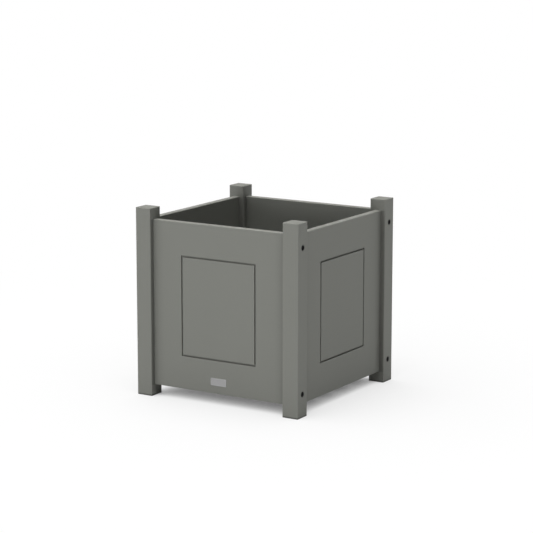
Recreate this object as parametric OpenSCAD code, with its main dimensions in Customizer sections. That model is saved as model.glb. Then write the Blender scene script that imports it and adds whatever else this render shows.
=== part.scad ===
// Square planter box: four corner posts, four grooved panels and a slatted floor on cleats.
// Millimetres, +Z up. The origin is on the ground, at the middle of the four posts.
// The front, which carries the nameplate, faces -Y, and the left side faces -X.

/* [Overall] */
// Width over the outer faces of the posts
overall_w = 500; // [420:5:700]
// Depth over the outer faces of the posts
overall_d = 500; // [420:5:700]
// Gap between the ground and the bottom edge of the panels
ground_gap = 30; // [20:1:60]
// How far the posts stand above the panels
post_rise = 30.5; // [10:0.5:80]

/* [Posts] */
// Side of the square posts
post_w = 46.5; // [43:0.5:60]
// Radius of the eased edges of the posts
post_ease_r = 2.5; // [1:0.1:4]

/* [Panels] */
// Thickness of the panels
panel_t = 19; // [17:0.5:22]
// Height of the panels
panel_h = 446.5; // [320:0.5:700]
// How far the panels lie behind the outer faces of the posts
panel_set_back = 13.75; // [8:0.25:18]
// Radius of the eased top and bottom edges of the panels
panel_ease_r = 2; // [0.5:0.1:3]

/* [Groove] */
// Distance from the edges of a panel to the middle of its groove
groove_inset = 90.5; // [60:0.5:120]
// How far the grooved rectangle lies above the middle of the panel
groove_raise = 0.7; // [0:0.1:20]
// Width of the routed groove
groove_w = 5; // [3:0.1:8]
// Depth of the routed groove
groove_d = 4; // [2:0.1:5]

/* [Floor] */
// Thickness of the floor slats
slat_t = 19; // [12:0.5:25]
// Drain gap between the slats
drain_gap = 7; // [4.5:0.5:12]
// Gap between the ends of the slats and the side panels
slat_end_gap = 1; // [0.5:0.5:3]
// Gap between the outer slats and the posts
slat_side_gap = 1; // [0.5:0.5:3]
// Radius of the eased long edges of the slats
slat_ease_r = 1.5; // [0.5:0.1:3]
// Thickness of the cleats, from the panel inwards
cleat_t = 19; // [16:0.5:25]
// Height of the cleats
cleat_h = 38; // [34:0.5:60]
// How far the cleats lie above the bottom edge of the panels
cleat_lift = 6; // [0:0.5:20]
// Gap at each end of a cleat
cleat_end_gap = 1; // [0.5:0.5:3]

/* [Frame screws] */
// Shank diameter of the screws through the posts
frame_screw_d = 5; // [4:0.1:6]
// How far these screws go into the ends of the front and back panels
frame_screw_bite = 26; // [15:1:40]
// Head diameter of these screws
frame_head_d = 13.3; // [8:0.1:15]
// Head height of these screws
frame_head_h = 3; // [2:0.1:3]
// Depth of the counterbore that sinks each head
frame_sink = 3.1; // [3:0.1:12]
// Distance of the lower screws from the bottom edge of the panels
frame_screw_low = 32; // [20:0.5:60]
// Distance of the upper screws from the top edge of the panels
frame_screw_high = 34; // [20:0.5:60]

/* [Pocket screws] */
// Shank diameter of the screws in the side panels' pocket holes
pocket_screw_d = 4.2; // [3.5:0.1:5]
// How far these screws go into the posts
pocket_screw_bite = 20; // [12:1:25]
// Head diameter of these screws
pocket_head_d = 8.2; // [7:0.1:9]
// Head height of these screws
pocket_head_h = 3; // [2:0.1:4]
// Diameter of the pocket holes
pocket_d = 9.5; // [9.4:0.1:11]
// Slope of the pocket holes to the face of the panel, in degrees
pocket_angle = 15; // [13:0.5:18]
// Board left between the floor of a pocket and the post
pocket_web = 14; // [10:0.5:16]
// Distance of the pocket holes from the top and bottom edges of the panels
pocket_inset = 110; // [90:1:150]

/* [Floor screws] */
// Shank diameter of the countersunk screws in the cleats and slats
floor_screw_d = 4.2; // [3.5:0.1:5]
// Head diameter of these screws
floor_head_d = 8.4; // [7:0.1:10]
// Head height of these screws
floor_head_h = 2.8; // [2:0.1:4]
// How far the screws through a cleat go into the panel
cleat_screw_bite = 13; // [8:0.5:14]
// Distance of the outer cleat screws from the ends of the cleat
cleat_screw_end = 45; // [25:1:80]
// Height of the cleat screws above the bottom of the cleat
cleat_screw_up = 12; // [8:0.5:14]
// How far the screws through a slat go into the cleat
slat_screw_bite = 19; // [12:0.5:20]
// Distance of the slat screws from the long edges of the slat
slat_screw_edge = 14; // [8:0.5:18]

/* [Nameplate] */
// Width of the bare nameplate
plate_w = 48; // [30:0.5:80]
// Height of the nameplate
plate_h = 19.5; // [12:0.5:30]
// Thickness of the nameplate
plate_t = 0.8; // [0.5:0.1:2]
// Corner radius of the nameplate
plate_corner_r = 1.5; // [0.5:0.1:4]
// Height of the nameplate's middle above the bottom edge of the panel
plate_up = 32; // [20:1:60]

/* [Hidden] */
$fn = 64;

// Number of floor slats, with one node for each
slat_count = 5;
// Clearance between a shank and its bore, on the radius
shank_fit = 0.1;
// Clearance round a frame screw's head in its counterbore, on the radius
head_room = 0.45;
// Room left in a bore beyond the tip of its screw
tip_room = 2;
// Length of a screw's point, and the small flat at its end, as shares of the shank's diameter
point_share = 1.4;
tip_share = 0.12;
// Width and depth of a driver socket, as shares of the head's diameter and height
socket_share = 0.34;
socket_depth_share = 0.6;
// How far a cutting solid runs past the face that it opens
past = 1;

half_w = overall_w / 2;
half_d = overall_d / 2;
post_h = ground_gap + panel_h + post_rise;
post_in_x = half_w - post_w;
post_in_y = half_d - post_w;

panel_top = ground_gap + panel_h;
panel_out_x = half_w - panel_set_back;
panel_out_y = half_d - panel_set_back;
panel_mid_x = panel_out_x - panel_t / 2;
panel_mid_y = panel_out_y - panel_t / 2;
panel_in_x = panel_out_x - panel_t;
panel_in_y = panel_out_y - panel_t;

cleat_bottom = ground_gap + cleat_lift;
cleat_top = cleat_bottom + cleat_h;
cleat_in_x = panel_in_x - cleat_t;
cleat_in_y = panel_in_y - cleat_t;
side_cleat_half = post_in_y - cleat_end_gap;
end_cleat_half = cleat_in_x - cleat_end_gap;

floor_top = cleat_top + slat_t;
slat_half = panel_in_x - slat_end_gap;
slat_w = (2 * (post_in_y - slat_side_gap) - (slat_count - 1) * drain_gap) / slat_count;
function slat_y(i) = (i - (slat_count - 1) / 2) * (slat_w + drain_gap);

frame_screw_len = post_w - frame_sink + frame_screw_bite;
pocket_screw_len = pocket_web + pocket_screw_bite;
cleat_screw_len = cleat_t + cleat_screw_bite;
slat_screw_len = slat_t + slat_screw_bite;
counterbore_d = frame_head_d + 2 * head_room;
pocket_run = (panel_t / 2 + pocket_d) / sin(pocket_angle);

grey = [0.49, 0.494, 0.475];
cleat_grey = [0.43, 0.434, 0.42];
black = [0.07, 0.07, 0.07];
steel = [0.62, 0.62, 0.6];
silver = [0.74, 0.74, 0.73];

// Outlines

// Rectangle with rounded corners, on y 0 and centred on x 0
module eased_rect(w, h, r) {
    translate([-w / 2, r]) square([w, h - 2 * r]);
    translate([r - w / 2, 0]) square([w - 2 * r, h]);
    for (x = [r - w / 2, w / 2 - r], y = [r, h - r]) translate([x, y]) circle(r = r);
}

// Board whose section is eased and whose length runs along X, standing on z 0
module board_x(length, t, h, r) {
    rotate([90, 0, 90]) linear_extrude(height = length, center = true) eased_rect(t, h, r);
}

// The same board with its length along Y
module board_y(length, t, h, r) {
    rotate([90, 0, 0]) linear_extrude(height = length, center = true) eased_rect(t, h, r);
}

// Mirrors its children in X or Y where the sign is negative
module side_x(sign) {
    mirror([sign < 0 ? 1 : 0, 0, 0]) children();
}

module side_y(sign) {
    mirror([0, sign < 0 ? 1 : 0, 0]) children();
}

// Screws, each with the underside or rim of its head on z 0 and its point down

module screw_shank(d, length) {
    point = point_share * d;
    translate([0, 0, point - length]) cylinder(d = d, h = length - point);
    translate([0, 0, -length]) cylinder(d1 = tip_share * d, d2 = d, h = point);
}

module driver_socket(head_d, head_h) {
    w = socket_share * head_d;
    depth = socket_depth_share * head_h;
    translate([-w / 2, -w / 2, -depth]) cube([w, w, depth + past]);
}

// Pan head above z 0
module pan_screw(d, length, head_d, head_h) {
    rim = head_h / 2;
    difference() {
        union() {
            screw_shank(d, length);
            cylinder(d = head_d, h = rim);
            translate([0, 0, rim]) cylinder(d1 = head_d, d2 = head_d - 2 * rim, h = head_h - rim);
        }
        translate([0, 0, head_h]) driver_socket(head_d - 2 * rim, head_h);
    }
}

// Countersunk head flush with z 0
module flat_screw(d, length, head_d, head_h) {
    difference() {
        union() {
            screw_shank(d, length);
            translate([0, 0, -head_h]) cylinder(d1 = d, d2 = head_d, h = head_h);
        }
        driver_socket(head_d, head_h);
    }
}

// Bores that the screws sit in

module shank_bore(d, length) {
    translate([0, 0, -length - tip_room]) cylinder(d = d + 2 * shank_fit, h = length + tip_room + past);
}

module countersink(d, length, head_d, head_h) {
    bore_d = d + 2 * shank_fit;
    rim_d = head_d + 2 * shank_fit;
    shank_bore(d, length);
    translate([0, 0, -head_h]) cylinder(d1 = bore_d, d2 = rim_d, h = head_h);
    cylinder(d = rim_d, h = past);
}

// Places for the screws, with local +Z out of the head

// Frame screws on one outer side: sign -1 is the left, +1 the right
module at_frame_screws(sign) {
    for (back = [-1, 1], z = [ground_gap + frame_screw_low, panel_top - frame_screw_high])
        side_x(sign) side_y(back)
            translate([half_w - frame_sink, panel_mid_y, z]) rotate([0, 90, 0]) children();
}

// Pocket screws of one side panel
module at_pocket_screws(sign) {
    for (back = [-1, 1], z = [ground_gap + pocket_inset, panel_top - pocket_inset])
        side_x(sign) side_y(back) translate([panel_mid_x, post_in_y, z])
            rotate([0, 0, -pocket_angle]) rotate([90, 0, 0]) translate([0, 0, pocket_web]) children();
}

// Screws through the front (-1) or back (+1) cleat
module at_end_cleat_screws(sign) {
    reach = end_cleat_half - cleat_screw_end;
    for (x = [-reach, 0, reach])
        side_y(sign) translate([x, cleat_in_y, cleat_bottom + cleat_screw_up])
            rotate([90, 0, 0]) children();
}

// Screws through the left (-1) or right (+1) cleat
module at_side_cleat_screws(sign) {
    reach = side_cleat_half - cleat_screw_end;
    for (y = [-reach, 0, reach])
        side_x(sign) translate([cleat_in_x, y, cleat_bottom + cleat_screw_up])
            rotate([0, -90, 0]) children();
}

// Screws through one slat into the left (-1) or right (+1) cleat
module at_slat_screws(sign, i) {
    for (edge = [-1, 1])
        translate([
            sign * (panel_in_x - cleat_t / 2),
            slat_y(i) + edge * (slat_w / 2 - slat_screw_edge),
            floor_top
        ]) children();
}

// Posts

// Square post with all its edges eased, standing on the ground
module plain_post() {
    intersection() {
        linear_extrude(height = post_h)
            translate([0, -post_w / 2]) eased_rect(post_w, post_w, post_ease_r);
        board_x(post_w, post_w, post_h, post_ease_r);
        board_y(post_w, post_w, post_h, post_ease_r);
    }
}

// Corner post with the bores of the frame screws and the pocket screws that end in it
module corner_post(sx, sy) {
    color(grey) difference() {
        translate([sx * (half_w - post_w / 2), sy * (half_d - post_w / 2), 0]) plain_post();
        at_frame_screws(sx) shank_bore(frame_screw_d, frame_screw_len);
        at_frame_screws(sx) cylinder(d = counterbore_d, h = frame_sink + past);
        at_pocket_screws(sx) shank_bore(pocket_screw_d, pocket_screw_len);
    }
}

module corner_post_front_left() { corner_post(-1, -1); }
module corner_post_front_right() { corner_post(1, -1); }
module corner_post_back_left() { corner_post(-1, 1); }
module corner_post_back_right() { corner_post(1, 1); }

// Panels

// Routed rectangle, a groove with square walls, cut down to z -groove_d from z 0.
// Its plane is XY, with y 0 on the bottom edge of the panel.
module routed_groove(visible_w) {
    w = visible_w - 2 * groove_inset;
    h = panel_h - 2 * groove_inset;
    translate([0, groove_inset + groove_raise, -groove_d]) linear_extrude(height = groove_d + past)
        difference() {
            translate([0, -groove_w / 2]) eased_rect(w + groove_w, h + groove_w, groove_w / 2);
            translate([(groove_w - w) / 2, groove_w / 2]) square([w - groove_w, h - groove_w]);
        }
}

// Front (-1) or back (+1) panel, held by the frame screws in its ends
module end_panel(sign) {
    color(grey) difference() {
        translate([0, sign * panel_mid_y, ground_gap])
            board_x(2 * post_in_x, panel_t, panel_h, panel_ease_r);
        side_y(-sign) translate([0, -panel_out_y, ground_gap])
            rotate([90, 0, 0]) routed_groove(2 * post_in_x);
        for (side = [-1, 1]) at_frame_screws(side) shank_bore(frame_screw_d, frame_screw_len);
        at_end_cleat_screws(sign) shank_bore(floor_screw_d, cleat_screw_len);
    }
}

// Left (-1) or right (+1) panel, held by the pocket screws
module side_panel(sign) {
    color(grey) difference() {
        translate([sign * panel_mid_x, 0, ground_gap])
            board_y(2 * post_in_y, panel_t, panel_h, panel_ease_r);
        side_x(sign) translate([panel_out_x, 0, ground_gap])
            rotate([90, 0, 90]) routed_groove(2 * post_in_y);
        at_pocket_screws(sign) shank_bore(pocket_screw_d, pocket_screw_len);
        at_pocket_screws(sign) cylinder(d = pocket_d, h = pocket_run);
        at_side_cleat_screws(sign) shank_bore(floor_screw_d, cleat_screw_len);
    }
}

module front_panel() { end_panel(-1); }
module back_panel() { end_panel(1); }
module left_panel() { side_panel(-1); }
module right_panel() { side_panel(1); }

// Floor

// Front (-1) or back (+1) cleat, between the inner faces of the side cleats
module end_cleat(sign) {
    color(cleat_grey) difference() {
        translate([-end_cleat_half, sign * (cleat_in_y + cleat_t / 2) - cleat_t / 2, cleat_bottom])
            cube([2 * end_cleat_half, cleat_t, cleat_h]);
        at_end_cleat_screws(sign)
            countersink(floor_screw_d, cleat_screw_len, floor_head_d, floor_head_h);
    }
}

// Left (-1) or right (+1) cleat, between the posts, which carries the ends of the slats
module side_cleat(sign) {
    color(cleat_grey) difference() {
        translate([sign * (cleat_in_x + cleat_t / 2) - cleat_t / 2, -side_cleat_half, cleat_bottom])
            cube([cleat_t, 2 * side_cleat_half, cleat_h]);
        at_side_cleat_screws(sign)
            countersink(floor_screw_d, cleat_screw_len, floor_head_d, floor_head_h);
        for (i = [0 : slat_count - 1]) at_slat_screws(sign, i)
            shank_bore(floor_screw_d, slat_screw_len);
    }
}

module front_cleat() { end_cleat(-1); }
module back_cleat() { end_cleat(1); }
module left_cleat() { side_cleat(-1); }
module right_cleat() { side_cleat(1); }

// Slat i, counted from 0 at the front, lying on the side cleats
module floor_slat(i) {
    color(cleat_grey) difference() {
        translate([0, slat_y(i), cleat_top]) board_x(2 * slat_half, slat_w, slat_t, slat_ease_r);
        for (side = [-1, 1]) at_slat_screws(side, i)
            countersink(floor_screw_d, slat_screw_len, floor_head_d, floor_head_h);
    }
}

module floor_slat_1() { floor_slat(0); }
module floor_slat_2() { floor_slat(1); }
module floor_slat_3() { floor_slat(2); }
module floor_slat_4() { floor_slat(3); }
module floor_slat_5() { floor_slat(4); }

// Fasteners

module frame_screws(sign) {
    color(black) at_frame_screws(sign)
        pan_screw(frame_screw_d, frame_screw_len, frame_head_d, frame_head_h);
}

module pocket_screws(sign) {
    color(steel) at_pocket_screws(sign)
        pan_screw(pocket_screw_d, pocket_screw_len, pocket_head_d, pocket_head_h);
}

module cleat_screw() {
    color(steel) flat_screw(floor_screw_d, cleat_screw_len, floor_head_d, floor_head_h);
}

module slat_screws(sign) {
    color(steel) for (i = [0 : slat_count - 1]) at_slat_screws(sign, i)
        flat_screw(floor_screw_d, slat_screw_len, floor_head_d, floor_head_h);
}

module frame_screws_left() { frame_screws(-1); }
module frame_screws_right() { frame_screws(1); }
module pocket_screws_left() { pocket_screws(-1); }
module pocket_screws_right() { pocket_screws(1); }
module front_cleat_screws() { at_end_cleat_screws(-1) cleat_screw(); }
module back_cleat_screws() { at_end_cleat_screws(1) cleat_screw(); }
module left_cleat_screws() { at_side_cleat_screws(-1) cleat_screw(); }
module right_cleat_screws() { at_side_cleat_screws(1) cleat_screw(); }
module slat_screws_left() { slat_screws(-1); }
module slat_screws_right() { slat_screws(1); }

// Bare metal plate on the outer face of the front panel
module nameplate() {
    color(silver) translate([0, -panel_out_y, ground_gap + plate_up - plate_h / 2])
        rotate([90, 0, 0]) linear_extrude(height = plate_t) eased_rect(plate_w, plate_h, plate_corner_r);
}

corner_post_front_left();
corner_post_front_right();
corner_post_back_left();
corner_post_back_right();
front_panel();
back_panel();
left_panel();
right_panel();
front_cleat();
back_cleat();
left_cleat();
right_cleat();
floor_slat_1();
floor_slat_2();
floor_slat_3();
floor_slat_4();
floor_slat_5();
frame_screws_left();
frame_screws_right();
pocket_screws_left();
pocket_screws_right();
front_cleat_screws();
back_cleat_screws();
left_cleat_screws();
right_cleat_screws();
slat_screws_left();
slat_screws_right();
nameplate();
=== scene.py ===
# %% [markdown]
# A square planter box, dressed for its picture.
# The real planter is a kit of solid plastic boards: four posts, four panels with a routed line, and a
# slatted floor on cleats, all held by screws. Its shape was settled before this script, so the boards come
# in as a fixed frame. This script gives them their finish, makes the screws and the nameplate in full
# detail, and sets up the camera and the lights.

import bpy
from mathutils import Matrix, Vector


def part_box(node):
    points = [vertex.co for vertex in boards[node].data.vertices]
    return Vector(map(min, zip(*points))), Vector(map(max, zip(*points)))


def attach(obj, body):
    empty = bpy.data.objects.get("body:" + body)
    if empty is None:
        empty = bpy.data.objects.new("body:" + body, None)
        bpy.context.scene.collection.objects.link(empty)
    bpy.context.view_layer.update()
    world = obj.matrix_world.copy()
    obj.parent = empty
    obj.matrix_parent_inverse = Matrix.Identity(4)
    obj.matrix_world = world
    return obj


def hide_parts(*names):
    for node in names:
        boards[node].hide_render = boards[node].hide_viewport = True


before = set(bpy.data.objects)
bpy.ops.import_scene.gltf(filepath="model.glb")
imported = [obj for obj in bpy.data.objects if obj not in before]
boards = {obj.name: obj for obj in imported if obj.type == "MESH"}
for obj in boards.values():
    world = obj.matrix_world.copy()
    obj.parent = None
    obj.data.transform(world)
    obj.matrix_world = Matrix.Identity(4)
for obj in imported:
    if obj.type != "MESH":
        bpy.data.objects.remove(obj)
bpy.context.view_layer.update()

# %% Imports, units and a helper for new objects
import math

import bmesh
import bpy
import numpy as np
from mathutils import Vector

MM = 0.001


def mm(*values):
    """Turns millimetres into metres, as one number or as a vector."""
    scaled = [value * MM for value in values]
    return scaled[0] if len(scaled) == 1 else Vector(scaled)


def add_object(name, data):
    """Makes an object of a mesh, a lamp or a camera, and puts it in the scene."""
    made = bpy.data.objects.new(name, data)
    bpy.context.scene.collection.objects.link(made)
    return made


print("one millimetre is", MM, "of Blender's units")

# %% [markdown]
# Node trees are built in code here, both for the finishes and for the screws. Blender's own calls take
# three or four lines for each node, which hides the idea behind the typing. The helpers below make a node
# in one line. They take either a plain value or the output of another node, so a formula reads from left
# to right.

# %% Helpers for node trees


def feed(tree, socket, value):
    """Links a socket to another node's output, or gives it a plain value."""
    if isinstance(value, bpy.types.NodeSocket):
        tree.links.new(value, socket)
    else:
        socket.default_value = value


def put(tree, kind, inputs=None, **settings):
    """Adds a node, sets its settings, and feeds its inputs by name or number."""
    node = tree.nodes.new(kind)
    for name, value in settings.items():
        setattr(node, name, value)
    for name, value in (inputs or {}).items():
        feed(tree, node.inputs[name], value)
    return node


def maths(tree, operation, *values):
    """One step of arithmetic on numbers. It works in shader trees and in geometry trees."""
    return put(tree, "ShaderNodeMath", dict(enumerate(values)), operation=operation).outputs[0]


def short(operation):
    """A short helper for one kind of arithmetic, so that a formula fits on a line."""
    return lambda tree, *values: maths(tree, operation, *values)


plus, minus, times, over = short("ADD"), short("SUBTRACT"), short("MULTIPLY"), short("DIVIDE")
times_plus, least, most = short("MULTIPLY_ADD"), short("MINIMUM"), short("MAXIMUM")


def vectors(tree, operation, *values, output="Vector"):
    """One step of arithmetic on vectors."""
    node = put(tree, "ShaderNodeVectorMath", dict(enumerate(values)), operation=operation)
    return node.outputs[output]


SOCKET_TYPES = {float: "Float", int: "Int", tuple: "Vector", Vector: "Vector"}


def new_group(name, inputs, outputs, kind="ShaderNodeTree"):
    """Starts a node group. Each socket has a default, or else a word, which is its type."""
    tree = bpy.data.node_groups.new(name, kind)
    for side, sockets in (("INPUT", inputs), ("OUTPUT", outputs)):
        for label, default in sockets.items():
            word = default if isinstance(default, str) else SOCKET_TYPES[type(default)]
            socket = tree.interface.new_socket(label, in_out=side, socket_type="NodeSocket" + word)
            if default != word:
                socket.default_value = default
    given = tree.nodes.new("NodeGroupInput").outputs
    wanted = tree.nodes.new("NodeGroupOutput").inputs
    return tree, given, wanted


def ramp(tree, value, low, high, start=0.0, end=1.0):
    """Turns a value between low and high into a soft step from start to end."""
    inputs = {"Value": value, "From Min": low, "From Max": high, "To Min": start, "To Max": end}
    return put(tree, "ShaderNodeMapRange", inputs, interpolation_type="SMOOTHSTEP").outputs[0]


print("helpers ready")

# %% [markdown]
# The skin of the boards. Recycled plastic lumber is coloured all the way through and comes out of its
# mould with a fine pebbled skin, a faint cloudiness, and on the narrow boards some streaks along the
# length, where the plastic flowed. It could be painted on an image, but noise in the object's own metres
# needs no unwrapping and has the right size on every board. The whole effect is one group, so each board
# can use it with its own seed and its own flow.

# %% Group: pebbled skin with clouds and flow streaks

STREAK_WIDTH = 1.5
STREAK_HEIGHT = 0.5


def make_skin_group():
    tree, given, wanted = new_group(
        "board skin",
        {
            "Position": "Vector",
            "Flow": (1.0, 1.0, 1.0),
            "Seed": 0.0,
            "Pebble size": mm(2.2),
            "Cloud size": mm(70),
            "Pebbles": 0.05,
            "Clouds": 0.03,
            "Streaks": 0.03,
        },
        {"Tone": "Float", "Height": "Float", "Cloud": "Float"},
    )

    def noise(place, size, detail):
        scale = over(tree, 1.0, size)
        inputs = {"Vector": place, "W": given["Seed"], "Scale": scale, "Detail": detail}
        level = put(tree, "ShaderNodeTexNoise", inputs, noise_dimensions="4D").outputs[0]
        return minus(tree, level, 0.5)

    pebble = noise(given["Position"], given["Pebble size"], detail=2.0)
    cloud = noise(given["Position"], given["Cloud size"], detail=3.0)
    flowed = vectors(tree, "MULTIPLY", given["Position"], given["Flow"])
    streak = noise(flowed, times(tree, given["Pebble size"], STREAK_WIDTH), detail=1.0)
    tone = times_plus(tree, pebble, given["Pebbles"], 1.0)
    tone = times_plus(tree, cloud, given["Clouds"], tone)
    feed(tree, wanted["Tone"], times_plus(tree, streak, given["Streaks"], tone))
    feed(tree, wanted["Height"], times_plus(tree, streak, STREAK_HEIGHT, pebble))
    feed(tree, wanted["Cloud"], cloud)
    return tree


skin_group = make_skin_group()
print("board skin:", len(skin_group.nodes), "nodes")

# %% [markdown]
# Eased edges. A board's edges are rounded with a router and rub against things first, so they are a
# little smoother and paler than its faces; the paleness is partly that wear and partly a painted
# highlight on the rounded edges. Blender can find edges from the mesh, but that needs joined faces, and a
# board from the frame has loose ones. A board is nearly a box, so a formula does it: of the three
# distances to the box's sides, the smallest tells which face the point lies on, and the middle one is how
# far it is from the nearest edge.

# %% Group: distance to the edges of a board


def make_edge_group():
    tree, given, wanted = new_group(
        "board edges",
        {"Position": "Vector", "Low corner": "Vector", "High corner": "Vector", "Width": mm(4)},
        {"Edge": "Float"},
    )
    from_low = vectors(tree, "SUBTRACT", given["Position"], given["Low corner"])
    from_high = vectors(tree, "SUBTRACT", given["High corner"], given["Position"])
    nearest = vectors(tree, "MINIMUM", from_low, from_high)
    x, y, z = put(tree, "ShaderNodeSeparateXYZ", {0: nearest}).outputs
    larger = most(tree, x, y)
    middle = most(tree, least(tree, x, y), least(tree, larger, z))
    feed(tree, wanted["Edge"], ramp(tree, middle, 0.0, given["Width"], 1.0, 0.0))
    return tree


edge_group = make_edge_group()
print("board edges:", len(edge_group.nodes), "nodes")

# %% [markdown]
# Settled dust. A little dry soil lies on whatever faces up: the tops of the posts, the rim of the panels
# and above all the floor slats. Its dark colour also dims these faces as painted shade. The mask needs
# only the direction of the surface and some noise to break it up. It is a group of its own because every
# board uses it, with its own amount.

# %% Group: dust, and painted shade, on the faces that look up

LOOKS_UP = (0.5, 0.95)
PATCH_LEVELS = (0.25, 0.8)


def make_dust_and_shade_group():
    tree, given, wanted = new_group(
        "settled_dust_and_shade",
        {"Position": "Vector", "Amount": 0.1, "Patch size": mm(25)},
        {"Dust and shade": "Float"},
    )
    normal = put(tree, "ShaderNodeNewGeometry").outputs["Normal"]
    upness = put(tree, "ShaderNodeSeparateXYZ", {0: normal}).outputs["Z"]
    scale = over(tree, 1.0, given["Patch size"])
    patches = put(tree, "ShaderNodeTexNoise", {"Vector": given["Position"], "Scale": scale, "Detail": 4.0})
    dust_and_top_shade = times(tree, ramp(tree, upness, *LOOKS_UP), ramp(tree, patches.outputs[0], *PATCH_LEVELS))
    # The dust also stands in as painted shade that dims the faces that look up.
    feed(tree, wanted["Dust and shade"], times(tree, dust_and_top_shade, given["Amount"]))
    return tree


dust_and_shade_group = make_dust_and_shade_group()
print("settled_dust_and_shade:", len(dust_and_shade_group.nodes), "nodes")

# %% [markdown]
# Sawn ends. Where a board was cut to length the skin is gone, and the blade has left fine arcs. They are
# rings round a centre well away from the cut, where the saw's arbor was. The mask is how squarely the
# surface faces along the board.

# %% Group: arcs of a saw blade on the cut ends

FACES_ALONG = (0.9, 0.99)
TORN_SCALE = 900.0
ARC_SHARE = 0.25


def make_saw_group():
    tree, given, wanted = new_group(
        "saw arcs",
        {
            "Position": "Vector",
            "Length axis": (0.0, 0.0, 1.0),
            "Arbor": mm(150, 90, 0),
            "Spacing": mm(1.3),
        },
        {"End": "Float", "Height": "Float"},
    )
    normal = put(tree, "ShaderNodeNewGeometry").outputs["Normal"]
    squareness = vectors(tree, "DOT_PRODUCT", normal, given["Length axis"], output="Value")
    end = ramp(tree, maths(tree, "ABSOLUTE", squareness), *FACES_ALONG)
    from_arbor = vectors(tree, "ADD", given["Position"], given["Arbor"])
    turns = over(tree, vectors(tree, "LENGTH", from_arbor, output="Value"), given["Spacing"])
    arcs = maths(tree, "SINE", times(tree, turns, math.tau))
    grain = {"Vector": given["Position"], "Scale": TORN_SCALE, "Detail": 2.0}
    torn = put(tree, "ShaderNodeTexNoise", grain).outputs[0]
    cut = times_plus(tree, arcs, ARC_SHARE, torn)
    feed(tree, wanted["End"], end)
    feed(tree, wanted["Height"], times(tree, cut, end))
    return tree


saw_group = make_saw_group()
print("saw arcs:", len(saw_group.nodes), "nodes")

# %% [markdown]
# The routed line. Each panel has a narrow groove in the shape of a rectangle. The groove itself is cut in
# the frame's solid; what it lacks is the look of a groove, which the cutter leaves scraped. It is darkened,
# partly for the grime it gathers and partly as painted shade in the narrow cut. The mask is the distance
# to the outline of a rectangle, a formula that needs only the rectangle's half width and half height.

# %% Group: the routed line of a panel

SIDE_MARGIN = mm(0.1)
BACK_MARGIN = mm(1)
DARK_FROM_SHARE = 0.4


def make_line_group():
    tree, given, wanted = new_group(
        "routed line",
        {
            "Along": "Float",
            "Up": "Float",
            "Depth": "Float",
            "Half width": mm(100),
            "Half height": mm(130),
            "Line width": mm(5),
            "Line depth": mm(4),
        },
        {"Groove": "Float"},
    )
    past_side = minus(tree, maths(tree, "ABSOLUTE", given["Along"]), given["Half width"])
    past_top = minus(tree, maths(tree, "ABSOLUTE", given["Up"]), given["Half height"])
    beyond = {0: most(tree, past_side, 0.0), 1: most(tree, past_top, 0.0)}
    outside = put(tree, "ShaderNodeCombineXYZ", beyond).outputs[0]
    inside = least(tree, most(tree, past_side, past_top), 0.0)
    away = plus(tree, vectors(tree, "LENGTH", outside, output="Value"), inside)
    half_line = times_plus(tree, given["Line width"], 0.5, SIDE_MARGIN)
    in_line = maths(tree, "LESS_THAN", maths(tree, "ABSOLUTE", away), half_line)
    sunk = ramp(tree, given["Depth"], 0.0, times(tree, given["Line depth"], DARK_FROM_SHARE))
    bottom = plus(tree, given["Line depth"], BACK_MARGIN)
    in_depth = times(tree, sunk, maths(tree, "LESS_THAN", given["Depth"], bottom))
    # The groove mask marks painted shade in the cut, with some grime.
    feed(tree, wanted["Groove"], times(tree, in_line, in_depth))
    return tree


line_group = make_line_group()
print("routed line:", len(line_group.nodes), "nodes")

# %% [markdown]
# Shade and grime in the corners. The corner between a post and a panel and the foot of each post are
# darkened: partly dirt that stays where a cloth doesn't reach, and partly painted shade, the soft shade
# that a post throws on the panel beside it and the contact shade at the feet. The planter is the same on
# all four sides, so one formula does for every board. Seen from above, the larger of |x| and |y| is how far
# out a point lies, and the smaller one is how far it lies along its side. The fullness says whether the
# darkening fades at once or fills most of its reach.

# %% Group: painted shade and grime in the corners and at the feet


def make_corner_shade_and_grime_group():
    tree, given, wanted = new_group(
        "corner_shade_and_grime",
        {
            "Position": "Vector",
            "Corner out": mm(236),
            "Corner along": mm(203),
            "From height": mm(30),
            "To height": mm(476),
            "Reach": mm(14),
            "Fullness": 1.0,
            "Foot height": mm(6.5),
        },
        {"Corner": "Float", "Foot": "Float"},
    )
    mirrored = vectors(tree, "ABSOLUTE", given["Position"])
    x, y, z = put(tree, "ShaderNodeSeparateXYZ", {0: mirrored}).outputs
    out = minus(tree, most(tree, x, y), given["Corner out"])
    along = minus(tree, least(tree, x, y), given["Corner along"])
    square = times_plus(tree, out, out, times(tree, along, along))
    away = over(tree, maths(tree, "SQRT", square), given["Reach"])
    faded = maths(tree, "POWER", least(tree, away, 1.0), given["Fullness"])
    corner = minus(tree, 1.0, faded)
    above = maths(tree, "GREATER_THAN", z, given["From height"])
    below = maths(tree, "LESS_THAN", z, given["To height"])
    # Corner is painted shade where a post meets a panel, Foot is painted contact shade at the bottom, both
    # with some grime.
    feed(tree, wanted["Corner"], times(tree, corner, times(tree, above, below)))
    feed(tree, wanted["Foot"], ramp(tree, z, 0.0, given["Foot height"], 1.0, 0.0))
    return tree


corner_shade_and_grime_group = make_corner_shade_and_grime_group()
print("corner_shade_and_grime:", len(corner_shade_and_grime_group.nodes), "nodes")

# %% [markdown]
# Shade and grime round the screws. Each black screw of a post sits in a counterbore, and the face round
# its rim is darkened: partly dirt that gathers there, and partly painted shade of the recess.
# Painting four spots on each post would need four places to keep in step. But all the holes lie along X,
# at two heights and at one distance from the middle of the planter, so the same mirror as above does it:
# the mask is a ring round the nearer of the two heights.

# %% Group: painted shade and grime round the screws


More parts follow.
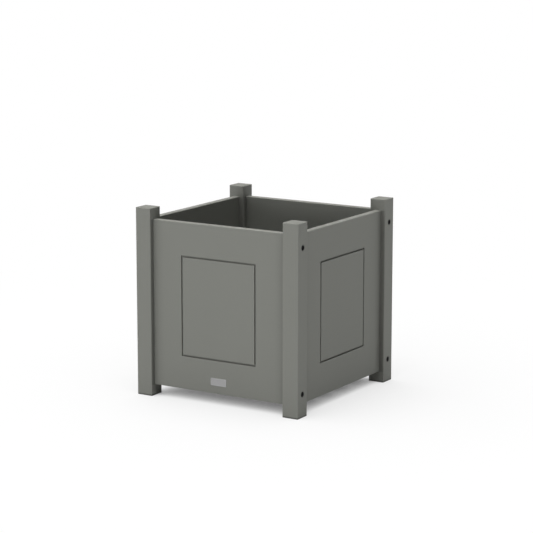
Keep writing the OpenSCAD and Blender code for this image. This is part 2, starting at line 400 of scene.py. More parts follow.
def make_ring_group():
    tree, given, wanted = new_group(
        "screw_shade_and_grime",
        {
            "Position": "Vector",
            "Screw along": mm(226.75),
            "Low screw": mm(62),
            "High screw": mm(442.5),
            "Hole radius": mm(7),
            "Reach": mm(3),
        },
        {"Ring": "Float"},
    )
    mirrored = vectors(tree, "ABSOLUTE", given["Position"])
    _, y, z = put(tree, "ShaderNodeSeparateXYZ", {0: mirrored}).outputs
    beside = minus(tree, y, given["Screw along"])
    from_low = maths(tree, "ABSOLUTE", minus(tree, z, given["Low screw"]))
    from_high = maths(tree, "ABSOLUTE", minus(tree, z, given["High screw"]))
    above = least(tree, from_low, from_high)
    away = maths(tree, "SQRT", times_plus(tree, beside, beside, times(tree, above, above)))
    outer = plus(tree, given["Hole radius"], given["Reach"])
    # The ring is painted shade round each screw hole, with some grime.
    feed(tree, wanted["Ring"], ramp(tree, away, given["Hole radius"], outer, 1.0, 0.0))
    return tree


ring_group = make_ring_group()
print("screw_shade_and_grime:", len(ring_group.nodes), "nodes")

# %% [markdown]
# The finish of one board. All boards are the same grey plastic, but no two have the same clouds, and each
# has its own box for the edge mask. So every board gets a material of its own from one function, which
# places the groups with that board's values. The function takes the direction of the board's length:
# the streaks run along it and the saw cut across it.

# %% The finish of a board

BOARD_GREY = (0.205, 0.209, 0.189)
FLOOR_GREY = (0.165, 0.168, 0.153)
# Dry soil colour, also used as painted shade that dims the tops.
DRY_SOIL_AND_TOP_SHADE = (0.105, 0.097, 0.083, 1.0)
# Near black, for painted shade in corners, at feet, round holes and in the groove, and for grime.
SHADE_AND_GRIME = (0.03, 0.03, 0.027, 1.0)
AXES = {"X": Vector((1, 0, 0)), "Y": Vector((0, 1, 0)), "Z": Vector((0, 0, 1))}
FLOW_STRETCH = 0.02


def new_material(name):
    """A new material, with its node tree, its Principled BSDF and the object's own coordinates."""
    material = bpy.data.materials.new(name)
    material.use_nodes = True
    tree = material.node_tree
    position = put(tree, "ShaderNodeTexCoord").outputs["Object"]
    return material, tree, tree.nodes["Principled BSDF"], position


def use_group(tree, group, inputs):
    """Places a node group in a material and returns its outputs."""
    return put(tree, "ShaderNodeGroup", inputs, node_tree=group).outputs


def toned(tree, colour, tone):
    """A colour made paler or darker by a tone near one."""
    return put(tree, "ShaderNodeVectorMath", {0: colour, "Scale": tone}, operation="SCALE").outputs[0]


def blend_colours(tree, share, first, second):
    """Mixes two colours by a mask. The Mix node's colour sockets are its inputs 6 and 7 and output 2."""
    return put(tree, "ShaderNodeMix", {0: share, 6: first, 7: second}, data_type="RGBA").outputs[2]


print("board grey", BOARD_GREY, "floor grey", FLOOR_GREY)

# %% [markdown]
# The material itself. The base colour is the grey times the skin's tone, a little paler on the edges,
# partly wear and partly painted highlight; darker in the groove, in the corners, at the feet and round the
# screws, partly dirt and partly painted shade; and dustier on top, where the dust also dims the faces as
# painted shade. The bump is kept in real metres, so that a pebble is a few hundredths of a millimetre high.
# Roughness is high: this plastic has a dull, waxy surface, and only its rubbed edges are a little smoother.

# %% Build a board's material

PEBBLE_HEIGHT = mm(0.05)
SAW_HEIGHT = mm(0.04)
BOARD_ROUGHNESS = 0.56
CLOUD_ROUGHNESS, EDGE_ROUGHNESS, END_ROUGHNESS, SOIL_ROUGHNESS = 0.12, -0.06, 0.12, 0.3
BOARD_SHINE = 0.2
# Edges are paler partly from rubbing and partly as a painted highlight.
EDGE_WEAR_AND_HIGHLIGHT = 0.05
GROOVE_SHADE_AND_DIRT = 0.12
low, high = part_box("front_panel")
CORNER_PLACE = {
    "Corner out": -low.y,
    "Corner along": -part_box("corner_post_front_left")[1].x,
    "From height": low.z,
    "To height": high.z,
}


def board_material(
    name, colour, length, seed, streaks=0.03, dust=0.35, corner=0.0, reach=mm(14), fullness=1.0,
    foot=0.0, rings=0.0, groove=None,
):
    """The finish of a board. Corner, foot and rings are shares of painted shade and grime, and groove
    places a line.
    """
    material, tree, surface, position = new_material(name + "_finish")
    low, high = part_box(name)
    flow = Vector((1, 1, 1)) - AXES[length] * (1 - FLOW_STRETCH)
    own = {"Position": position, "Flow": flow, "Seed": seed, "Streaks": streaks}
    skin = use_group(tree, skin_group, own)
    edge = use_group(tree, edge_group, {"Position": position, "Low corner": low, "High corner": high})[0]
    dust_and_top_shade = use_group(tree, dust_and_shade_group, {"Position": position, "Amount": dust})[0]
    saw = use_group(tree, saw_group, {"Position": position, "Length axis": AXES[length]})

    # Paler edges: partly rubbed wear, partly a painted highlight.
    tone = times_plus(tree, edge, EDGE_WEAR_AND_HIGHLIGHT, skin["Tone"])
    # Dust on top, also painted shade that dims the tops.
    shade = blend_colours(tree, dust_and_top_shade, toned(tree, colour, tone), DRY_SOIL_AND_TOP_SHADE)
    # Painted shade, with some grime, in the corners, at the feet and round the screw holes.
    spread = {"Position": position, "Reach": reach, "Fullness": fullness, **CORNER_PLACE}
    masks = use_group(tree, corner_shade_and_grime_group, spread)
    in_corner = times(tree, masks["Corner"], corner)
    shade_and_grime = most(tree, in_corner, times(tree, masks["Foot"], foot))
    if rings:
        ring = use_group(tree, ring_group, {"Position": position})[0]
        shade_and_grime = most(tree, shade_and_grime, times(tree, ring, rings))
    shade = blend_colours(tree, shade_and_grime, shade, SHADE_AND_GRIME)
    height = times_plus(tree, saw["Height"], SAW_HEIGHT / PEBBLE_HEIGHT, skin["Height"])
    roughness = times_plus(tree, skin["Cloud"], CLOUD_ROUGHNESS, BOARD_ROUGHNESS)
    roughness = times_plus(tree, edge, EDGE_ROUGHNESS, roughness)
    roughness = times_plus(tree, saw["End"], END_ROUGHNESS, roughness)
    roughness = times_plus(tree, dust_and_top_shade, SOIL_ROUGHNESS, roughness)
    if groove:
        # The groove is darkened with painted shade, partly grime.
        groove_shade = use_group(tree, line_group, groove(tree, position))[0]
        shade = blend_colours(tree, times(tree, groove_shade, GROOVE_SHADE_AND_DIRT), shade, SHADE_AND_GRIME)
    surface.inputs["Specular IOR Level"].default_value = BOARD_SHINE
    feed(tree, surface.inputs["Base Color"], shade)
    feed(tree, surface.inputs["Roughness"], roughness)
    bump = put(tree, "ShaderNodeBump", {"Height": height, "Distance": PEBBLE_HEIGHT})
    feed(tree, surface.inputs["Normal"], bump.outputs[0])
    return material


def finish_board(name, **values):
    """Gives a board of the frame its material."""
    board = boards[name]
    board.data.materials.clear()
    board.data.materials.append(board_material(name, **values))


print("corners in mm:", {name: round(value / MM, 2) for name, value in CORNER_PLACE.items()})

# %% [markdown]
# The posts. They stand upright, so their flow streaks run up, and their cut ends are the tops and the
# feet. The seed is the board's number, which gives each its own clouds.

# %% Finish the posts

posts = [f"corner_post_{end}_{side}" for end in ("front", "back") for side in ("left", "right")]
for seed, name in enumerate(posts, start=1):
    finish_board(
        name, colour=BOARD_GREY, length="Z", seed=seed, dust=0.4, corner=0.36, fullness=3.0, foot=0.9,
        rings=0.45,
    )
print("posts:", posts)

# %% [markdown]
# The panels. They are cut from sheet, which has hardly any flow, so the streaks are faint. The routed
# line lies at nearly the same distance from every edge of a panel. Its mask reads how far a point is along
# the panel, how far up, and how deep behind its outer face, so each panel says which axis is which.

# %% Finish the panels

GROOVE_INSET = mm(90.5)
GROOVE_RAISE = mm(0.7)
GROOVE_WIDTH = mm(5)
GROOVE_DEPTH = mm(4)


def groove_of(name, across, outward):
    """Returns a function that measures a point against this panel's routed line."""
    low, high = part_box(name)
    middle = (low + high) / 2
    half = (high - low) / 2
    along_axis = 0 if across == "Y" else 1
    depth_axis = 1 - along_axis
    outer_face = high[depth_axis] if outward > 0 else low[depth_axis]

    def measured(tree, position):
        parts = put(tree, "ShaderNodeSeparateXYZ", {0: position}).outputs
        behind = minus(tree, parts[depth_axis], outer_face)
        return {
            "Along": minus(tree, parts[along_axis], middle[along_axis]),
            "Up": minus(tree, parts[2], middle.z + GROOVE_RAISE),
            "Depth": times(tree, behind, -outward),
            "Half width": half[along_axis] - GROOVE_INSET,
            "Half height": half.z - GROOVE_INSET,
            "Line width": GROOVE_WIDTH,
            "Line depth": GROOVE_DEPTH,
        }

    return measured


panels = {"front": ("Y", -1), "back": ("Y", 1), "left": ("X", -1), "right": ("X", 1)}
for seed, (side, (across, outward)) in enumerate(panels.items(), start=11):
    name = side + "_panel"
    finish_board(
        name, colour=BOARD_GREY, length="X" if across == "Y" else "Y", seed=seed, streaks=0.01, dust=0.5,
        corner=0.25, reach=mm(32), fullness=0.6, groove=groove_of(name, across, outward),
    )
print("panels:", list(panels))

# %% [markdown]
# The floor. Nobody sees the cleats and the slats once the planter is filled, so they are plain boards of
# a darker, more streaky run of the same plastic. Most dust settles on the slats, as they lie flat at the
# bottom of the box.

# %% Finish the cleats and the slats

FLOOR_STREAKS = 0.08

for seed, side in enumerate(("front", "back", "left", "right"), start=21):
    along = "X" if side in ("front", "back") else "Y"
    finish_board(side + "_cleat", colour=FLOOR_GREY, length=along, seed=seed, streaks=FLOOR_STREAKS)
slats = sorted(name for name in boards if name.startswith("floor_slat"))
for seed, name in enumerate(slats, start=31):
    finish_board(name, colour=FLOOR_GREY, length="X", seed=seed, streaks=FLOOR_STREAKS, dust=0.7)
print("slats:", slats)

# %% [markdown]
# The metal. Two finishes are needed: black coated steel for the screws that show and bare stainless steel
# for the ones inside, besides the aluminium of the nameplate, which is satin on the rim and etched in the
# field. All are rubbed: fine scratches, drawn out along the plate, change the tone and the roughness a
# little. So the scratches are one more shared group, and each metal gives it its own values.

# %% Group: rubbed metal

STAIN_SCALE = 140.0


def make_rub_group():
    tree, given, wanted = new_group(
        "rubbed metal",
        {"Position": "Vector", "Grain": (1.0, 1.0, 1.0), "Scratch size": mm(0.3), "Strength": 0.2},
        {"Tone": "Float", "Height": "Float"},
    )
    scale = over(tree, 1.0, given["Scratch size"])
    drawn = vectors(tree, "MULTIPLY", given["Position"], given["Grain"])
    scratches = put(tree, "ShaderNodeTexNoise", {"Vector": drawn, "Scale": scale, "Detail": 3.0}).outputs[0]
    stains = put(tree, "ShaderNodeTexNoise", {"Vector": given["Position"], "Scale": STAIN_SCALE}).outputs[0]
    both = minus(tree, plus(tree, scratches, stains), 1.0)
    feed(tree, wanted["Tone"], times_plus(tree, both, given["Strength"], 1.0))
    feed(tree, wanted["Height"], scratches)
    return tree


rub_group = make_rub_group()
print("rubbed metal:", len(rub_group.nodes), "nodes")

# %% The metal finishes

SCRATCH_DEPTH = mm(0.01)


def metal_material(name, colour, roughness, rubbing, metallic=1.0, grain=(1.0, 1.0, 1.0), shine=0.5):
    """A rubbed metal of the given colour. The grain is how much each axis is drawn out."""
    material, tree, surface, position = new_material(name)
    rub = use_group(tree, rub_group, {"Position": position, "Grain": grain, "Strength": rubbing})
    feed(tree, surface.inputs["Base Color"], toned(tree, colour, rub["Tone"]))
    surface.inputs["Metallic"].default_value = metallic
    surface.inputs["Specular IOR Level"].default_value = shine
    feed(tree, surface.inputs["Roughness"], times(tree, rub["Tone"], roughness))
    bump = put(tree, "ShaderNodeBump", {"Height": rub["Height"], "Distance": SCRATCH_DEPTH})
    feed(tree, surface.inputs["Normal"], bump.outputs[0])
    return material


black_coating = metal_material(
    "black_coating", (0.004, 0.004, 0.004), roughness=0.65, rubbing=0.4, metallic=0.0, shine=0.07
)
stainless = metal_material("stainless_steel", (0.55, 0.54, 0.52), roughness=0.32, rubbing=0.25)
drawn_out = {"rubbing": 0.15, "grain": (0.03, 1.0, 1.0)}
rim_aluminium = metal_material("satin_aluminium", (0.335, 0.335, 0.335), roughness=0.42, **drawn_out)
field_aluminium = metal_material("etched_aluminium", (0.29, 0.29, 0.29), roughness=0.5, **drawn_out)
print("metals:", black_coating.name, stainless.name, rim_aluminium.name, field_aluminium.name)

# %% [markdown]
# Where the screws are. The frame has each set of screws as plain solids in one node. Their places and
# directions are read from those solids, so that the detailed screws can't miss their holes. A set is
# first merged, because its faces are loose, and then split into its separate screws. The long axis of a
# screw comes from its points, and its head is at the end where the points lie further out.

# %% Read the screws from the frame

WELD_DISTANCE = mm(0.005)


def loose_parts(name):
    """The vertices of each separate solid of a node, as arrays."""
    mesh = bmesh.new()
    mesh.from_mesh(boards[name].data)
    bmesh.ops.remove_doubles(mesh, verts=mesh.verts, dist=WELD_DISTANCE)
    left, parts = set(mesh.verts), []
    while left:
        reached, edge_of_search = set(), [left.pop()]
        while edge_of_search:
            vertex = edge_of_search.pop()
            reached.add(vertex)
            near = {edge.other_vert(vertex) for edge in vertex.link_edges} & left
            left -= near
            edge_of_search.extend(near)
        parts.append(np.array([vertex.co for vertex in reached]))
    mesh.free()
    return sorted(parts, key=lambda points: tuple(points.mean(0).round(4)))


def read_screw(points):
    """The middle of a screw's head end, the direction out of its head, and its length."""
    middle = (points.min(0) + points.max(0)) / 2
    axis = np.linalg.svd(points - points.mean(0))[2][0]
    along = (points - middle) @ axis
    spread = np.linalg.norm(points - middle - np.outer(along, axis), axis=1)
    if along[spread.argmax()] < 0:
        axis, along = -axis, -along
    return Vector(middle + axis * along.max()), Vector(axis), along.max() - along.min()


top, out, length = read_screw(loose_parts("frame_screws_right")[0])
print("a frame screw ends at", top, "and points to", out, "with a length of", round(length / MM, 2), "mm")

# %% [markdown]
# A lathe for node trees. The head of a screw is turned: one outline, spun round the screw's axis. Geometry
# Nodes have no spin, but a flat grid can be rolled up. Its columns become angles and its rows become the
# points of the outline, which an Index Switch hands out row by row. Merging the points that meet closes
# the seam and the two poles.

# %% Helper: spin an outline in a geometry tree

MERGE_DISTANCE = mm(0.01)


def pick(tree, index, values):
    """The value whose place in the list is the index."""
    node = put(tree, "GeometryNodeIndexSwitch", {"Index": index}, data_type="FLOAT")
    while len(node.index_switch_items) < len(values):
        node.index_switch_items.new()
    for place, value in enumerate(values):
        feed(tree, node.inputs[place + 1], value)
    return node.outputs[0]


def unrolled_grid(tree, columns, rows):
    """A flat grid, with the share of a turn of each vertex and the number of its row."""
    inputs = {"Size X": 1.0, "Size Y": 1.0, "Vertices X": plus(tree, columns, 1.0), "Vertices Y": rows}
    grid = put(tree, "GeometryNodeMeshGrid", inputs).outputs["Mesh"]
    position = put(tree, "GeometryNodeInputPosition").outputs[0]
    across, along, _ = put(tree, "ShaderNodeSeparateXYZ", {0: position}).outputs
    share = plus(tree, across, 0.5)
    row = times(tree, plus(tree, along, 0.5), minus(tree, rows, 1.0))
    return grid, share, maths(tree, "ROUND", row)


def rolled_up(tree, grid, share, radius, height):
    """Rolls a grid into a tube of the given radius and height at each vertex, and closes it."""
    angle = times(tree, share, math.tau)
    x = times(tree, radius, maths(tree, "COSINE", angle))
    y = times(tree, radius, maths(tree, "SINE", angle))
    place = put(tree, "ShaderNodeCombineXYZ", {0: x, 1: y, 2: height}).outputs[0]
    tube = put(tree, "GeometryNodeSetPosition", {"Geometry": grid, "Position": place}).outputs[0]
    merging = {"Geometry": tube, "Distance": MERGE_DISTANCE}
    return put(tree, "GeometryNodeMergeByDistance", merging).outputs[0]


def lathe(tree, outline, columns):
    """Spins an outline of (radius, height) pairs, listed from the lower pole to the upper one."""
    grid, share, row = unrolled_grid(tree, columns, len(outline))
    radius = pick(tree, row, [pair[0] for pair in outline])
    height = pick(tree, row, [pair[1] for pair in outline])
    return rolled_up(tree, grid, share, radius, height)


print("lathe ready, it merges points closer than", MERGE_DISTANCE / MM, "mm")

# %% [markdown]
# The threaded shank. A thread could be a small triangle swept along a spiral, but then it only lies in
# the core and isn't one skin with it. Here the same rolled-up grid is given a lead: each row climbs by one
# pitch in a full turn, so that it meets the row four places further on. Of every four rows two lie on
# the core and two on the crest, which makes a true helix. Near the tip a cone limits the radius, and above
# the threaded stretch the shank is plain.

# %% Helper: a threaded shank in a geometry tree

THREAD_PLACES = (0.0, 0.5, 0.7, 0.82)
THREAD_ROWS = len(THREAD_PLACES)
CORE_ROWS = 2
SPARE_TURNS = 2.0
PLAIN_SHANK_SHARE = 0.5


def threaded_shank(tree, given, top):
    """A wood screw's shank from its tip at -Length up to the given height."""
    pitch, length, thread = given["Pitch"], given["Length"], given["Thread depth"]
    full = times(tree, given["Shank diameter"], 0.5)
    core = minus(tree, full, thread)
    turns = maths(tree, "CEIL", over(tree, length, pitch))
    rows = times(tree, plus(tree, turns, SPARE_TURNS), THREAD_ROWS)
    grid, share, row = unrolled_grid(tree, given["Sides"], rows)

    kind = maths(tree, "MODULO", row, THREAD_ROWS)
    turn = maths(tree, "FLOOR", over(tree, plus(tree, row, 0.5), THREAD_ROWS))
    place = plus(tree, plus(tree, turn, pick(tree, kind, THREAD_PLACES)), share)
    height = minus(tree, times(tree, minus(tree, place, 1.0), pitch), length)

    on_crest = maths(tree, "GREATER_THAN", kind, CORE_ROWS - 0.5)
    threaded = times_plus(tree, on_crest, thread, core)
    plain = times_plus(tree, thread, PLAIN_SHANK_SHARE, core)
    thread_end = times(tree, length, minus(tree, given["Threaded share"], 1.0))
    is_plain = maths(tree, "GREATER_THAN", height, thread_end)
    radius = put(tree, "ShaderNodeMix", {0: is_plain, 2: threaded, 3: plain}).outputs[0]
    from_tip = most(tree, plus(tree, height, length), 0.0)
    cone = over(tree, times(tree, from_tip, full), given["Point length"])
    radius = least(tree, radius, cone)
    radius = times(tree, radius, maths(tree, "LESS_THAN", height, top))
    above_tip = most(tree, height, times(tree, length, -1.0))
    return rolled_up(tree, grid, share, radius, least(tree, above_tip, top))


print("a thread has", THREAD_ROWS, "rows to a turn")

# %% [markdown]
# Two heads. The screws through the posts and those in the pocket holes have a pan head with a quarter
# round rim. The ones in the floor have a countersunk head that lies flush. Both have a square driver
# socket, cut with a boolean, because a real hole shows its depth from every side. Heights are measured
# from the top of the head, which is where the frame's screws were read.

# %% Helpers: pan head and countersunk head

ROUND_STEPS = 5
RIM_SHARE = 0.3
COUNTERSUNK_WIDTHS = (0.965, 0.93)
COUNTERSUNK_RIM = (-0.08, -0.03)
SOCKET_SHARE = 0.34
SOCKET_DEPTH_SHARE = 0.6


def pan_outline(tree, radius, height):
    """The outline of a pan head with a quarter round rim."""
    rim = times(tree, height, RIM_SHARE)
    flat = minus(tree, radius, rim)
    under = times(tree, height, -1.0)
    outline = [(0.0, under), (radius, under)]
    for step in range(ROUND_STEPS + 1):
        angle = math.radians(90 * step / ROUND_STEPS)
        r = times_plus(tree, rim, math.cos(angle), flat)
        z = times(tree, rim, math.sin(angle) - 1)
        outline.append((r, z))
    return outline + [(0.0, 0.0)]


def countersunk_outline(tree, radius, height, shank_radius):
    """The outline of a countersunk head with a narrow rim and a broken edge."""
    rim, broken = (times(tree, radius, share) for share in COUNTERSUNK_WIDTHS)
    under, low, high = (times(tree, height, share) for share in (-1.0, *COUNTERSUNK_RIM))
    return [(0.0, under), (shank_radius, under), (rim, low), (rim, high), (broken, 0.0), (0.0, 0.0)]


def cut_socket(tree, head, diameter, height):
    """Cuts a square driver socket into a head. The cutter reaches as far above the head as into it."""
    width = times(tree, diameter, SOCKET_SHARE)
    depth = times(tree, height, 2 * SOCKET_DEPTH_SHARE)
    size = put(tree, "ShaderNodeCombineXYZ", {0: width, 1: width, 2: depth}).outputs[0]
    driver = put(tree, "GeometryNodeMeshCube", {"Size": size}).outputs["Mesh"]
    inputs = {"Mesh 1": head, "Mesh 2": driver}
    cut = put(tree, "GeometryNodeMeshBoolean", inputs, operation="DIFFERENCE", solver="EXACT")
    return cut.outputs["Mesh"]


print("the socket is", SOCKET_SHARE, "of the head's width")

# %% [markdown]
# The screw tree. It takes a mesh that has one vertex at the top of each head and an attribute with the
# direction out of the head, builds one screw along Z, and places a copy at each vertex. Each copy is
# given its own turn from a fixed seed, because nobody leaves all sockets in line. Realize Instances makes
# the copies real, which the export needs.

# %% The screw trees

SHANK_TOP_SHARE = -0.8


def make_screw_tree(name, countersunk):
    tree, given, wanted = new_group(
        name,
        {
            "Places": "Geometry",
            "Shank diameter": mm(4.2),
            "Length": mm(38),
            "Head diameter": mm(8.4),
            "Head height": mm(2.8),
            "Pitch": mm(2.2),
            "Thread depth": mm(0.55),
            "Threaded share": 0.65,
            "Point length": mm(6),
            "Sides": 16,
            "Seed": 1,
            "Finish": "Material",
        },
        {"Screws": "Geometry"},
        kind="GeometryNodeTree",
    )
    height, diameter = given["Head height"], given["Head diameter"]
    radius = times(tree, diameter, 0.5)
    head_sides = times(tree, given["Sides"], 2.0)
    if countersunk:
        neck = times(tree, given["Shank diameter"], 0.5)
        outline = countersunk_outline(tree, radius, height, neck)
    else:
        outline = pan_outline(tree, radius, height)
    head = cut_socket(tree, lathe(tree, outline, head_sides), diameter, height)
    shank = threaded_shank(tree, given, times(tree, height, SHANK_TOP_SHARE))
    screw = tree.nodes.new("GeometryNodeJoinGeometry")
    feed(tree, screw.inputs[0], head)
    feed(tree, screw.inputs[0], shank)

    out = put(tree, "GeometryNodeInputNamedAttribute", {"Name": "out_of_head"}, data_type="FLOAT_VECTOR")
    upright = put(tree, "FunctionNodeAlignRotationToVector", {"Vector": out.outputs[0]}, axis="Z")
    inputs = {"Points": given["Places"], "Instance": screw.outputs[0], "Rotation": upright.outputs[0]}
    copies = put(tree, "GeometryNodeInstanceOnPoints", inputs).outputs[0]
    turn = put(tree, "FunctionNodeRandomValue", {3: math.tau, "Seed": given["Seed"]}, data_type="FLOAT")
    spin = put(tree, "ShaderNodeCombineXYZ", {2: turn.outputs[1]}).outputs[0]
    copies = put(tree, "GeometryNodeRotateInstances", {"Instances": copies, "Rotation": spin}).outputs[0]
    real = put(tree, "GeometryNodeRealizeInstances", {0: copies}).outputs[0]
    finished = put(tree, "GeometryNodeSetMaterial", {0: real, "Material": given["Finish"]})
    feed(tree, wanted["Screws"], finished.outputs[0])
    return tree


pan_tree = make_screw_tree("pan head screws", countersunk=False)
countersunk_tree = make_screw_tree("countersunk screws", countersunk=True)
print("screw trees:", len(pan_tree.nodes), "and", len(countersunk_tree.nodes), "nodes")

# %% [markdown]
# Making a set of screws. The places read from the frame become a small mesh of loose vertices, the
# modifier grows the screws on it, and the result is taken out as a plain mesh. Inputs of a modifier are
# set by identifier, because Blender stores them under that and not under their name. The screws are shaded
# smooth, and edges sharper than a limit are kept crisp.

# %% Grow the screws

CRISP_ANGLE = math.radians(35)


def set_inputs(modifier, values):
    """Sets a modifier's inputs, given by name."""
    for item in modifier.node_group.interface.items_tree:
        if item.in_out == "INPUT" and item.name in values:
            modifier[item.identifier] = values[item.name]


def grow_screws(name, node, tree, slot, finish, **sizes):
    """Makes the screws that stand for one of the frame's screw nodes."""
    heads = [read_screw(points) for points in loose_parts(node)]
    places = bpy.data.meshes.new(name + "_places")
    places.from_pydata([head[0] for head in heads], [], [])
    direction = places.attributes.new("out_of_head", "FLOAT_VECTOR", "POINT")
    direction.data.foreach_set("vector", [value for head in heads for value in head[1]])
    screws = add_object(name, places)
    modifier = screws.modifiers.new("grow", "NODES")
    modifier.node_group = tree
    set_inputs(modifier, {"Length": heads[0][2], "Finish": finish, **sizes})

    evaluated = screws.evaluated_get(bpy.context.evaluated_depsgraph_get())
    mesh = bpy.data.meshes.new_from_object(evaluated)
    screws.modifiers.remove(modifier)
    screws.data = mesh
    mesh.materials.clear()
    mesh.materials.append(finish)
    mesh.polygons.foreach_set("material_index", [0] * len(mesh.polygons))
    mesh.shade_smooth()
    mesh.set_sharp_from_angle(angle=CRISP_ANGLE)
    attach(screws, "root")
    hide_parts(node)
    print(name, len(heads), "screws,", len(mesh.polygons), "faces, finish", finish.name)


# %% The screws through the posts and in the pocket holes

FRAME_SCREW = {
    "Shank diameter": mm(5), "Head diameter": mm(13.3), "Head height": mm(3), "Pitch": mm(2.6),
    "Thread depth": mm(0.65), "Threaded share": 0.45, "Point length": mm(7),
}
POCKET_SCREW = {"Shank diameter": mm(4.2), "Head diameter": mm(8.2), "Head height": mm(3)}
for seed, side in enumerate(("left", "right"), start=1):
    grow_screws(
        f"black_screws_{side}", f"frame_screws_{side}", pan_tree, "black_screws", black_coating,
        **FRAME_SCREW, Seed=seed,
    )
    grow_screws(
        f"pocket_screw_set_{side}", f"pocket_screws_{side}", pan_tree, "steel_screws", stainless,
        **POCKET_SCREW, Seed=seed,
    )

# %% The countersunk screws of the floor

floor_screws = sorted(name for name in boards if "cleat_screws" in name or "slat_screws" in name)
for seed, node in enumerate(floor_screws, start=5):
    grown = node.replace("screws", "screw_set")
    grow_screws(grown, node, countersunk_tree, "steel_screws", stainless, Seed=seed)

# %% [markdown]
# The nameplate. A small metal plate sits low on the front. Its face is plain: an etched field inside a
# slightly raised rim. It could be a box with a bevel, but it is simple enough to model as a stack of
# outlines, each a rectangle with round corners, joined row by row and capped at both ends. So every layer
# has its exact height, and the last face is the field.

# %% Model the nameplate

PLATE_CORNER = mm(1.5)
PLATE_RIM = mm(1.1)
PLATE_BREAK = mm(0.15)
PLATE_RECESS = mm(0.25)
CORNER_STEPS = 8


def rounded_outline(width, height, radius):
    """The points of a rectangle with round corners, anticlockwise."""
    points = []
    for corner, (sx, sy) in enumerate(((1, 1), (-1, 1), (-1, -1), (1, -1))):
        for step in range(CORNER_STEPS + 1):
            angle = math.radians(90 * (corner + step / CORNER_STEPS))
            x = sx * (width / 2 - radius) + radius * math.cos(angle)
            y = sy * (height / 2 - radius) + radius * math.sin(angle)
            points.append((x, y))
    return points


def stacked_plate(name, low, high, layers):
    """A plate that faces -Y, made of outlines. Each layer is (inset, height above the back)."""
    mesh = bmesh.new()
    middle = (low + high) / 2
    rows = []
    for inset, lift in layers:
        width, height = high.x - low.x - 2 * inset, high.z - low.z - 2 * inset
        outline = rounded_outline(width, height, PLATE_CORNER - inset)
        rows.append([mesh.verts.new((middle.x + x, high.y - lift, middle.z + z)) for x, z in outline])
    for back, front in zip(rows, rows[1:]):
        for a, b, c, d in zip(back, back[1:] + back[:1], front[1:] + front[:1], front):
            mesh.faces.new((a, b, c, d))
    mesh.faces.new(rows[0])
    mesh.faces.new(rows[-1])
    bmesh.ops.recalc_face_normals(mesh, faces=mesh.faces)
    data = bpy.data.meshes.new(name)
    mesh.to_mesh(data)
    mesh.free()
    return add_object(name, data)


low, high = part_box("nameplate")
thick = high.y - low.y
layers = [
    (0.0, 0.0),
    (0.0, thick - PLATE_BREAK),
    (PLATE_BREAK, thick),
    (PLATE_RIM - PLATE_BREAK, thick),
    (PLATE_RIM, thick - PLATE_RECESS),
]
plate = stacked_plate("bare_nameplate", low, high, layers)
plate.data.materials.append(rim_aluminium)
plate.data.materials.append(field_aluminium)
plate.data.polygons[-1].material_index = 1
plate.data.shade_smooth()
plate.data.set_sharp_from_angle(angle=CRISP_ANGLE)
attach(plate, "root")
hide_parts("nameplate")
print("nameplate:", [round(v / MM, 1) for v in high - low], "mm")

# %% [markdown]
# The floor and the sky. The picture is a studio shot: everything is white but the soft shadow round the
# planter. The floor is a pale matte sheet, and the light that it throws back up is what makes the sides of
# the planter readable. It throws back a little less close by, so that the sides darken towards the feet.
# To the camera the floor shows mostly how open it is: the Ambient Occlusion node gives the share of the
# sky that a point of the floor can see. Its normal leans to the front, so that the shade falls a little to
# the back. One share of the shade grows evenly and the other only where hardly any sky is left. The floor
# far off and the sky are plain white, also as metal mirrors them, and the sky gives no light itself.

# %% Floor and world

FLOOR_HALF = 12.0
NEAR_ALBEDO, FAR_ALBEDO = 0.64, 0.825
NEAR_REACH, FAR_REACH = 0.25, 0.5
FLOOR_SEEN_ALBEDO = 0.08
FLOOR_GLOW = 0.9
SHADOW_REACH = 1.0
SHADOW_LEAN = Vector((-0.1, -0.173, 1.0))
WIDE_SHADE, DEEP_SHADE = 0.205, 0.79
DEEP_FALL = 4.0
WHITE_FROM, WHITE_BY = 0.7, 1.8


def seen_directly(tree):
    """One for rays from the camera and for mirrored ones, and nought for those that light something."""
    path = put(tree, "ShaderNodeLightPath").outputs
    seen = most(tree, path["Is Camera Ray"], path["Is Glossy Ray"])
    return most(tree, seen, path["Is Transmission Ray"])


def shadow_tone(tree):
    """White where the floor is open, and deep grey under the planter. A Normal has to come by a link."""
    inputs = {"Distance": SHADOW_REACH, "Normal": vectors(tree, "NORMALIZE", SHADOW_LEAN)}
    openness = put(tree, "ShaderNodeAmbientOcclusion", inputs).outputs["AO"]
    covered = minus(tree, 1.0, openness)
    deep = times(tree, maths(tree, "POWER", covered, DEEP_FALL), DEEP_SHADE)
    return minus(tree, 1.0, times_plus(tree, covered, WIDE_SHADE, deep))


def floor_material():
    """White to the camera but for the shade round the planter, and a matte grey to all other rays."""
    material, tree, surface, position = new_material("studio_floor")
    tree.nodes.remove(surface)
    seen = seen_directly(tree)
    away = vectors(tree, "LENGTH", position, output="Value")
    albedo = ramp(tree, away, NEAR_REACH, FAR_REACH, NEAR_ALBEDO, FAR_ALBEDO)
    grey = put(tree, "ShaderNodeMix", {0: seen, 2: albedo, 3: FLOOR_SEEN_ALBEDO}).outputs[0]
    matte = put(tree, "ShaderNodeBsdfDiffuse", {"Color": grey}).outputs[0]
    glow = times(tree, times(tree, shadow_tone(tree), FLOOR_GLOW), seen)
    near = put(tree, "ShaderNodeEmission", {"Strength": glow}).outputs[0]
    near = put(tree, "ShaderNodeAddShader", {0: matte, 1: near}).outputs[0]
    white = put(tree, "ShaderNodeEmission", {"Strength": 1.0}).outputs[0]
    share = times(tree, seen, ramp(tree, away, WHITE_FROM, WHITE_BY))
    both = put(tree, "ShaderNodeMixShader", {0: share, 1: near, 2: white}).outputs[0]
    feed(tree, tree.nodes["Material Output"].inputs["Surface"], both)
    return material


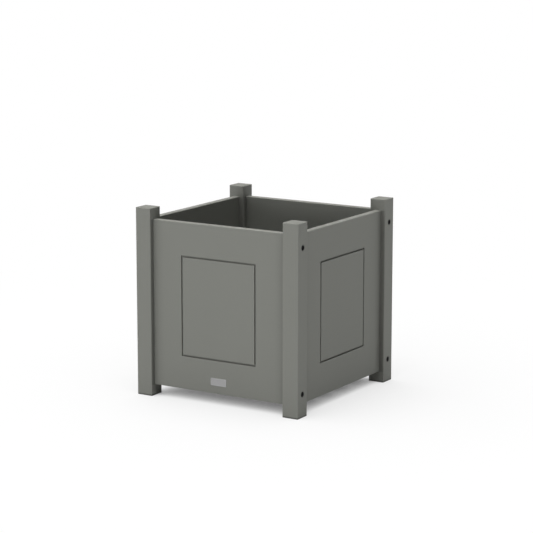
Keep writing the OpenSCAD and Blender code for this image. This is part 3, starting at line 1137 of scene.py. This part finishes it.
corners = [(FLOOR_HALF * x, FLOOR_HALF * y, 0.0) for x, y in ((-1, -1), (1, -1), (1, 1), (-1, 1))]
sheet = bpy.data.meshes.new("studio_floor")
sheet.from_pydata(corners, [], [(0, 1, 2, 3)])
sheet.materials.append(floor_material())
floor = add_object("studio_floor", sheet)

world = bpy.data.worlds.new("studio")
bpy.context.scene.world = world
world.use_nodes = True
sky = world.node_tree.nodes["Background"]
sky.inputs["Color"].default_value = (1.0, 1.0, 1.0, 1.0)
feed(world.node_tree, sky.inputs["Strength"], seen_directly(world.node_tree))
print("floor", 2 * FLOOR_HALF, "m wide, shades", WIDE_SHADE, "and", DEEP_SHADE)

# %% [markdown]
# The light. In the picture the faces that look up are the brightest, the inside is dark right from the
# rim, and the shadow hardly leaves the planter. So nearly all light comes from straight above, from a wide
# soft source. A second source, almost level and a little to the left of the front, lifts the front over
# the right side and hardly gets into the inside. Both could be area lamps, but wide suns light the whole
# floor evenly. A sun of strength pi shows a white surface as white.

# %% The two soft suns


def soft_sun(name, bearing, height, spread, level):
    """A wide sun. Its bearing counts from the front to the right, and all angles are in degrees."""
    turn, lift = math.radians(bearing), math.radians(height)
    way = Vector((math.sin(turn) * math.cos(lift), -math.cos(turn) * math.cos(lift), math.sin(lift)))
    data = bpy.data.lights.new(name, "SUN")
    data.angle = math.radians(spread)
    data.energy = math.pi * level
    lamp = add_object(name, data)
    lamp.rotation_euler = way.to_track_quat("Z", "Y").to_euler()
    return lamp


overhead = soft_sun("overhead", bearing=315, height=84.5, spread=59, level=1.345)
front_fill = soft_sun("front_fill", bearing=353, height=1, spread=16, level=0.285)
print("suns:", {lamp.name: round(lamp.data.energy, 2) for lamp in (overhead, front_fill)})

# %% [markdown]
# The camera. It stands far off with a long lens, so that the sides of the planter hardly converge. Its
# place was found by matching the edges of the posts and panels to the picture.

# %% The camera

CAMERA_PLACE = Vector((2.8523, -4.5695, 1.3785))
CAMERA_TURN = math.radians(31.97)
CAMERA_DIP = math.radians(10.995)
CAMERA_LENS = 138.03
SENSOR_WIDTH = 36.0

camera_data = bpy.data.cameras.new("camera")
camera_data.lens = CAMERA_LENS
camera_data.sensor_width = SENSOR_WIDTH
camera = add_object("camera", camera_data)
camera.location = CAMERA_PLACE
camera.rotation_euler = (math.pi / 2 - CAMERA_DIP, 0.0, CAMERA_TURN)
bpy.context.scene.camera = camera
bpy.context.scene.view_settings.view_transform = "Standard"
print("camera", round(CAMERA_PLACE.length, 2), "m away, lens", CAMERA_LENS, "mm")
